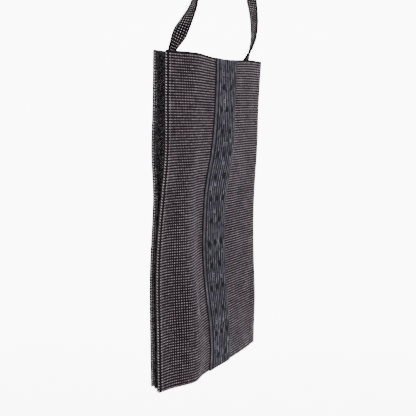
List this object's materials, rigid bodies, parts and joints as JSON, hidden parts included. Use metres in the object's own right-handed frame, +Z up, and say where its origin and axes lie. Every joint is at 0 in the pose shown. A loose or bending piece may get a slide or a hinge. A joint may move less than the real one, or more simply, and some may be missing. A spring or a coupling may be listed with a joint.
{
  "type": "shoulder bag",
  "caption": "Flat upright shoulder bag of dotted woven cloth with ribbed woven bands, a narrow folded gusset and a long flat strap, kept as it hangs.",
  "frame": {"origin": "the underside of the strap at its highest point, where the hook or hand that holds the bag meets it", "axes": "+Z up, -Y out of the front panel, +X along the front panel towards its right-hand edge seen from the front"},
  "size_m": [0.304, 0.0463, 0.6076],
  "materials": {
    "dotted_cloth": "matt woven cloth with small pale dots on a near-black ground",
    "ribbed_band": "raised blue-grey cords with a slight sheen",
    "black_gusset": "fine matt black weave",
    "strap_cloth": "folded dotted cloth with dark edges"
  },
  "bodies": {
    "root": {"front_panel": "dotted_cloth", "back_panel": "dotted_cloth", "front_band": "ribbed_band", "back_band": "ribbed_band", "left_gusset": "black_gusset", "right_gusset": "black_gusset", "base_strip": "dotted_cloth", "shoulder_strap": "strap_cloth"}
  },
  "joints": []
}
